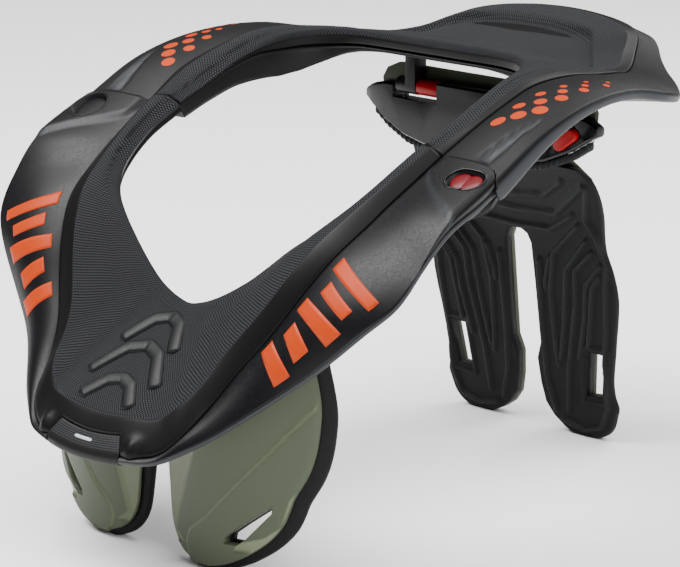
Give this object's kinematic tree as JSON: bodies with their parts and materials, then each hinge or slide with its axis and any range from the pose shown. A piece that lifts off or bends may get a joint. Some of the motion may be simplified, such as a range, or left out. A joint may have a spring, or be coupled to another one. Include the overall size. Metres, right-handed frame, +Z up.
{
  "type": "motocross neck brace",
  "caption": "Two-part protective collar with foam pads, slotted chest plates in front, and a ribbed two-legged back plate hung from a tilting yoke.",
  "frame": {"origin": "middle of the footprint at the floor, under the neck opening", "axes": "+Z up, -Y towards the chest (front), +X towards the wearer's left"},
  "size_m": [0.2848, 0.3582, 0.2304],
  "materials": {
    "shell_black": "satin",
    "pad_foam": "fine ribbed cloth over foam",
    "black_rubber": "matte",
    "red_gloss": "gloss",
    "red_satin": "satin gloss",
    "olive_shell": "satin",
    "black_foam": "moulded foam, matte",
    "gloss_black": "gloss"
  },
  "bodies": {
    "rear_section": {"rear_shell": "shell_black", "rear_pad": "pad_foam", "pivot_bar": "shell_black"},
    "front_section": {"front_shell": "shell_black", "front_pad": "pad_foam", "front_tab": "black_rubber", "hinge_cap": "shell_black", "chest_plate_left": "olive_shell", "chest_plate_right": "olive_shell", "chest_foam_left": "black_foam", "chest_foam_right": "black_foam"},
    "release_button": {"release_button": "red_gloss"},
    "back_section": {"back_plate": "olive_shell", "back_pad": "black_foam", "back_yoke": "gloss_black", "yoke_skirt": "black_rubber", "pivot_sleeve_left": "red_satin", "pivot_sleeve_right": "red_satin"},
    "yoke_button": {"yoke_button": "red_satin"}
  },
  "joints": [
    {"name": "front_swing", "type": "hinge", "parent": "rear_section", "child": "front_section", "pos_m": [-0.129, -0.05475, 0.1883], "axis": [0, 0.5045, -0.8634], "range_deg": [0, 35]},
    {"name": "release_press", "type": "slide", "parent": "front_section", "child": "release_button", "axis": [0, 0.5045, -0.8634], "range_m": [0, 0.002], "stiffness_N_per_m": 900},
    {"name": "back_tilt", "type": "hinge", "parent": "rear_section", "child": "back_section", "pos_m": [0, 0.10025, 0.19], "axis": [1, 0, 0], "range_deg": [-10, 10]},
    {"name": "yoke_press", "type": "slide", "parent": "back_section", "child": "yoke_button", "axis": [0, 1, 0], "range_m": [0, 0.003], "stiffness_N_per_m": 700}
  ]
}
